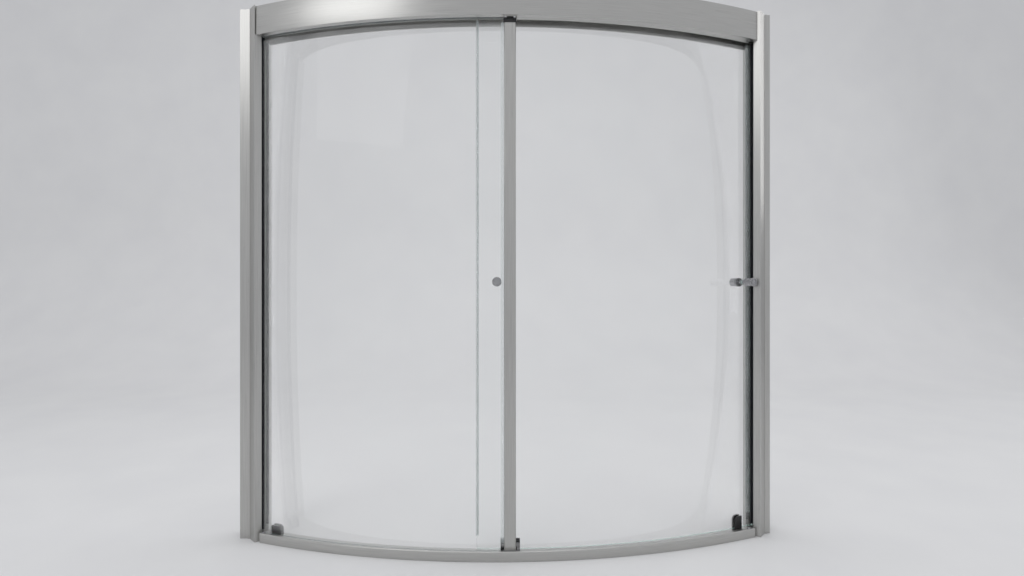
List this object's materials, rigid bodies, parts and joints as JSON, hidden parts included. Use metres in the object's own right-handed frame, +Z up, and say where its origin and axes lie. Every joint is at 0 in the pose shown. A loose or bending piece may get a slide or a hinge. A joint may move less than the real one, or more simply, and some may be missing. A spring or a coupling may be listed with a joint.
{
  "type": "glass shower enclosure",
  "caption": "Bow-front sliding shower enclosure: curved header and sill between wall jambs, a fixed bent pane with a centre post, and a bent glass door that rolls behind it.",
  "frame": {"origin": "middle of the sill's underside, midway through the rails' depth at the middle of the bow", "axes": "+X to the right as seen from the room, +Y from the room into the bath, +Z up"},
  "size_m": [1.513, 0.2072, 1.495],
  "materials": {
    "brushed_nickel": "satin brushed along each extrusion",
    "clear_glass": "clear toughened glass, polished edges with a green tint",
    "black_rubber": "matt black extruded rubber",
    "clear_seal": "translucent flexible vinyl",
    "chrome": "polished",
    "black_plastic": "moulded, fine grain",
    "white_nylon": "turned nylon",
    "plain_steel": "bright zinc plated",
    "grey_pile": "short brushed pile"
  },
  "bodies": {
    "frame": {"bracket_screws": "plain_steel", "centre_post": "brushed_nickel", "corner_guide_left": "black_plastic", "corner_guide_right": "black_plastic", "door_stops": "black_rubber", "fixed_glass": "clear_glass", "guide_pads": "black_plastic", "header_bracket_left": "plain_steel", "header_bracket_right": "plain_steel", "header_filler": "brushed_nickel", "header_gasket": "black_rubber", "header_rail": "brushed_nickel", "header_screws": "plain_steel", "jamb_gasket": "clear_seal", "jamb_left": "brushed_nickel", "jamb_right": "brushed_nickel", "jamb_screws": "plain_steel", "jamb_strips_left": "black_rubber", "jamb_strips_right": "black_rubber", "post_foot_bracket": "chrome", "post_head_cap": "black_plastic", "post_head_plate": "plain_steel", "post_pile": "grey_pile", "post_screws": "plain_steel", "post_seal": "clear_seal", "setting_blocks": "black_rubber", "sill_filler": "brushed_nickel", "sill_gasket": "black_rubber", "sill_screws": "chrome", "sill_track": "brushed_nickel", "wall_channel_left": "brushed_nickel", "wall_channel_right": "brushed_nickel"},
    "door": {"clamp_bolts": "plain_steel", "clamp_nuts": "plain_steel", "door_glass": "clear_glass", "glass_bushes": "black_plastic", "hanger_pad_left": "black_rubber", "hanger_pad_right": "black_rubber", "hanger_plate_left": "plain_steel", "hanger_plate_right": "plain_steel", "knob_studs": "plain_steel", "knob_washers": "clear_seal", "leading_knob_inner": "chrome", "leading_knob_outer": "chrome", "leading_seal": "clear_seal", "trailing_button": "chrome", "trailing_knob_inner": "chrome", "trailing_seal": "clear_seal", "wheel_axles": "plain_steel"},
    "wheel_1": {"wheel_1": "white_nylon", "wheel_bearing_1": "plain_steel"},
    "wheel_2": {"wheel_2": "white_nylon", "wheel_bearing_2": "plain_steel"},
    "wheel_3": {"wheel_3": "white_nylon", "wheel_bearing_3": "plain_steel"},
    "wheel_4": {"wheel_4": "white_nylon", "wheel_bearing_4": "plain_steel"}
  },
  "joints": [
    {"name": "door_roll", "type": "hinge", "parent": "frame", "child": "door", "pos_m": [0, 1.966, 0], "axis": [0, 0, -1], "range_deg": [0, 17.9]},
    {"name": "wheel_1_turn", "type": "hinge", "parent": "door", "child": "wheel_1", "pos_m": [0.00878, 0.01902, 1.45455], "axis": [0.0045, -1, 0], "continuous": true},
    {"name": "wheel_2_turn", "type": "hinge", "parent": "door", "child": "wheel_2", "pos_m": [0.07276, 0.02036, 1.45455], "axis": [0.0374, -0.9993, 0], "continuous": true},
    {"name": "wheel_3_turn", "type": "hinge", "parent": "door", "child": "wheel_3", "pos_m": [0.55813, 0.10071, 1.45455], "axis": [0.2867, -0.958, 0], "continuous": true},
    {"name": "wheel_4_turn", "type": "hinge", "parent": "door", "child": "wheel_4", "pos_m": [0.61913, 0.12006, 1.45455], "axis": [0.318, -0.9481, 0], "continuous": true}
  ],
  "couplings": [
    {"joint": "wheel_1_turn", "follows": "door_roll", "ratio": 162.25},
    {"joint": "wheel_2_turn", "follows": "door_roll", "ratio": 162.25},
    {"joint": "wheel_3_turn", "follows": "door_roll", "ratio": 162.25},
    {"joint": "wheel_4_turn", "follows": "door_roll", "ratio": 162.25}
  ]
}
